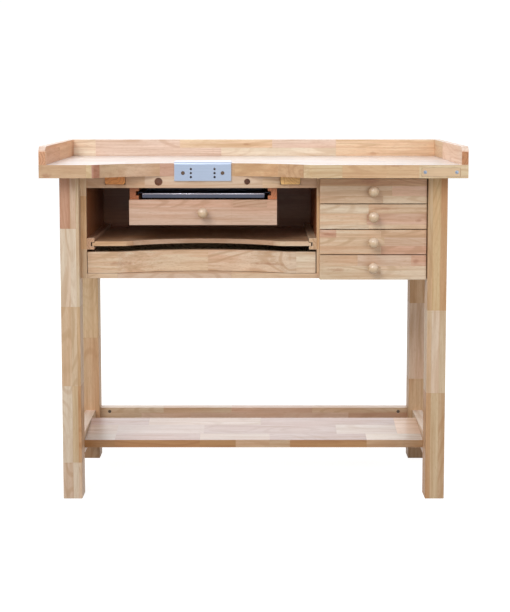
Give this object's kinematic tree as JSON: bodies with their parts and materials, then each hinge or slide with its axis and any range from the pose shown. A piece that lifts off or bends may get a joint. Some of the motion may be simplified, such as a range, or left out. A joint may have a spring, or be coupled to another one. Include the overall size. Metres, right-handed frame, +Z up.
{
  "type": "workbench with drawers",
  "caption": "Jeweller's workbench with a curved cut-out, bench pin holder, hung drawer, pull-out shelf, lined catch tray, side drawer stack and tilted foot rest.",
  "frame": {"origin": "on the floor at the middle of the bench's overall width and depth", "axes": "+X to the worker's right, +Y from the worker to the back of the bench, +Z up"},
  "size_m": [1.1, 0.5, 0.938],
  "materials": {
    "pale_wood": "satin lacquer",
    "top_wood": "satin lacquer",
    "drawer_front_wood": "satin lacquer",
    "knob_wood": "satin lacquer",
    "dark_wood": "satin lacquer",
    "plywood": "plain",
    "holder_steel": "brushed",
    "tray_steel": "smooth",
    "lining_leather": "matt",
    "plate_metal": "satin",
    "fastener_steel": "zinc plated"
  },
  "bodies": {
    "frame": {"tabletop": "top_wood", "back_gallery": "pale_wood", "left_gallery": "pale_wood", "right_gallery": "pale_wood", "front_left_leg": "pale_wood", "front_right_leg": "pale_wood", "rear_left_leg": "pale_wood", "rear_right_leg": "pale_wood", "left_stretcher": "pale_wood", "right_stretcher": "pale_wood", "rear_stretcher": "pale_wood", "foot_rest": "top_wood", "cabinet_bottom_board": "pale_wood", "cabinet_left_panel": "pale_wood", "cabinet_partition": "pale_wood", "cabinet_right_panel": "pale_wood", "cabinet_back_panel": "plywood", "drawer_divider_1": "plywood", "drawer_divider_2": "plywood", "drawer_divider_3": "plywood", "front_apron": "pale_wood", "left_arm_rest_guide": "dark_wood", "right_arm_rest_guide": "dark_wood", "left_shelf_runner": "pale_wood", "right_shelf_runner": "pale_wood", "left_hanger": "dark_wood", "right_hanger": "dark_wood", "bench_pin_holder": "holder_steel", "holder_screw_left": "holder_steel", "holder_screw_right": "holder_steel", "makers_plate": "plate_metal"},
    "left_arm_rest": {"left_arm_rest": "dark_wood"},
    "right_arm_rest": {"right_arm_rest": "dark_wood"},
    "pull_out_shelf": {"pull_out_shelf": "pale_wood"},
    "filings_tray": {"filings_tray": "tray_steel"},
    "catch_tray": {"catch_tray_front": "drawer_front_wood", "catch_tray_frame": "pale_wood", "catch_tray_bottom": "plywood", "catch_tray_lining": "lining_leather"},
    "centre_drawer": {"centre_drawer_front": "drawer_front_wood", "centre_drawer_box": "pale_wood", "centre_drawer_bottom": "plywood", "centre_drawer_knob": "knob_wood"},
    "side_drawer_1": {"side_drawer_1_front": "drawer_front_wood", "side_drawer_1_box": "pale_wood", "side_drawer_1_bottom": "plywood", "side_drawer_1_knob": "knob_wood"},
    "side_drawer_2": {"side_drawer_2_front": "drawer_front_wood", "side_drawer_2_box": "pale_wood", "side_drawer_2_bottom": "plywood", "side_drawer_2_knob": "knob_wood"},
    "side_drawer_3": {"side_drawer_3_front": "drawer_front_wood", "side_drawer_3_box": "pale_wood", "side_drawer_3_bottom": "plywood", "side_drawer_3_knob": "knob_wood"},
    "side_drawer_4": {"side_drawer_4_front": "drawer_front_wood", "side_drawer_4_box": "pale_wood", "side_drawer_4_bottom": "plywood", "side_drawer_4_knob": "knob_wood"}
  },
  "joints": [
    {"name": "left_arm_rest_slide", "type": "slide", "parent": "frame", "child": "left_arm_rest", "axis": [0, -1, 0], "range_m": [0, 0.2]},
    {"name": "right_arm_rest_slide", "type": "slide", "parent": "frame", "child": "right_arm_rest", "axis": [0, -1, 0], "range_m": [0, 0.2]},
    {"name": "pull_out_shelf_slide", "type": "slide", "parent": "frame", "child": "pull_out_shelf", "axis": [0, -1, 0], "range_m": [0, 0.24]},
    {"name": "filings_tray_slide", "type": "slide", "parent": "frame", "child": "filings_tray", "axis": [0, -1, 0], "range_m": [0, 0.19]},
    {"name": "catch_tray_slide", "type": "slide", "parent": "frame", "child": "catch_tray", "axis": [0, -1, 0], "range_m": [0, 0.26]},
    {"name": "centre_drawer_slide", "type": "slide", "parent": "frame", "child": "centre_drawer", "axis": [0, -1, 0], "range_m": [0, 0.23]},
    {"name": "side_drawer_1_slide", "type": "slide", "parent": "frame", "child": "side_drawer_1", "axis": [0, -1, 0], "range_m": [0, 0.27]},
    {"name": "side_drawer_2_slide", "type": "slide", "parent": "frame", "child": "side_drawer_2", "axis": [0, -1, 0], "range_m": [0, 0.27]},
    {"name": "side_drawer_3_slide", "type": "slide", "parent": "frame", "child": "side_drawer_3", "axis": [0, -1, 0], "range_m": [0, 0.27]},
    {"name": "side_drawer_4_slide", "type": "slide", "parent": "frame", "child": "side_drawer_4", "axis": [0, -1, 0], "range_m": [0, 0.27]}
  ]
}
